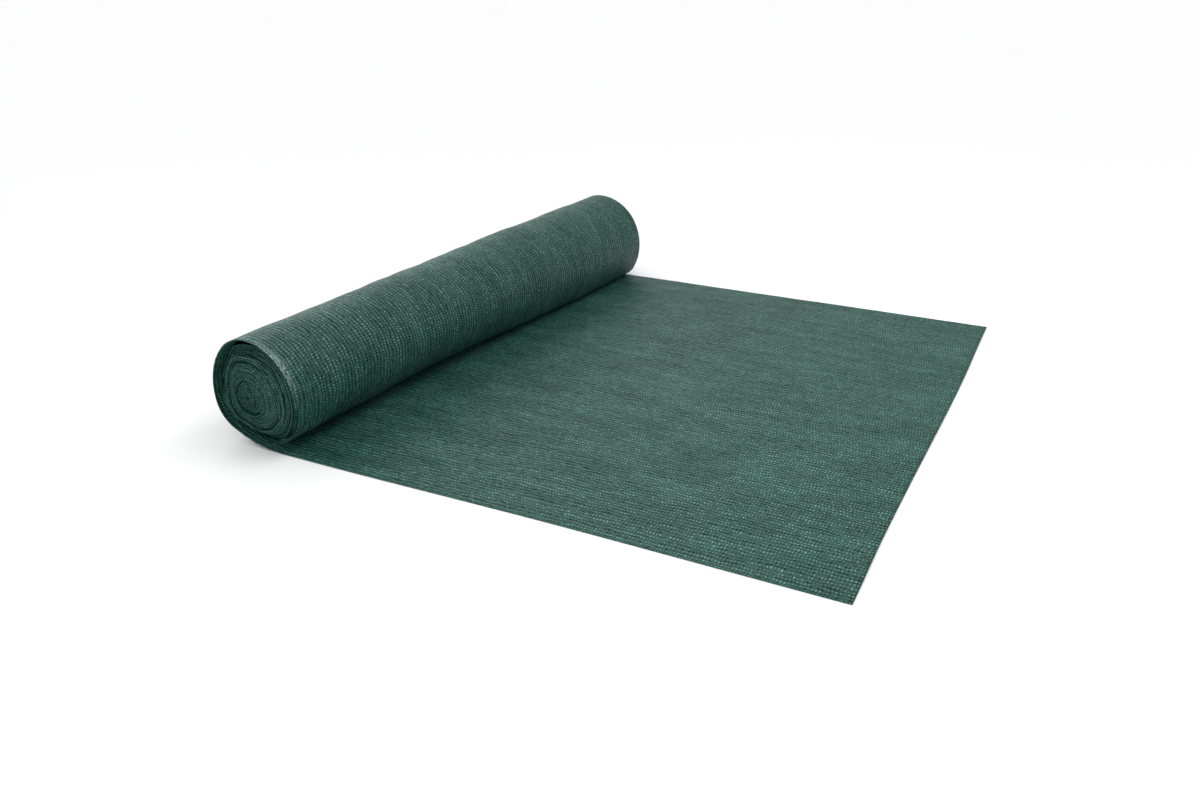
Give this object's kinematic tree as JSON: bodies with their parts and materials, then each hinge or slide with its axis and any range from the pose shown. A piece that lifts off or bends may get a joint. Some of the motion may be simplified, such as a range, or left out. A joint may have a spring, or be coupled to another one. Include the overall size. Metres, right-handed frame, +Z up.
{
  "type": "privacy screen netting, part-unrolled roll",
  "caption": "Roll of dark green knitted privacy screen netting, its outer turn loose and its end unrolled flat, to fix along a fence or balcony.",
  "frame": {"origin": "on the ground, under the middle of the outline of roll and flat cloth together", "axes": "+X from the roll towards the cut end of the unrolled cloth, +Y along the roll from its hollow end to its standing-out end, +Z up"},
  "size_m": [0.9106, 1.026, 0.1675],
  "materials": {
    "green_netting": "knitted plastic tape and thread, satin, open mesh"
  },
  "bodies": {
    "root": {"netting_loose_end": "green_netting", "netting_roll": "green_netting"}
  },
  "joints": []
}
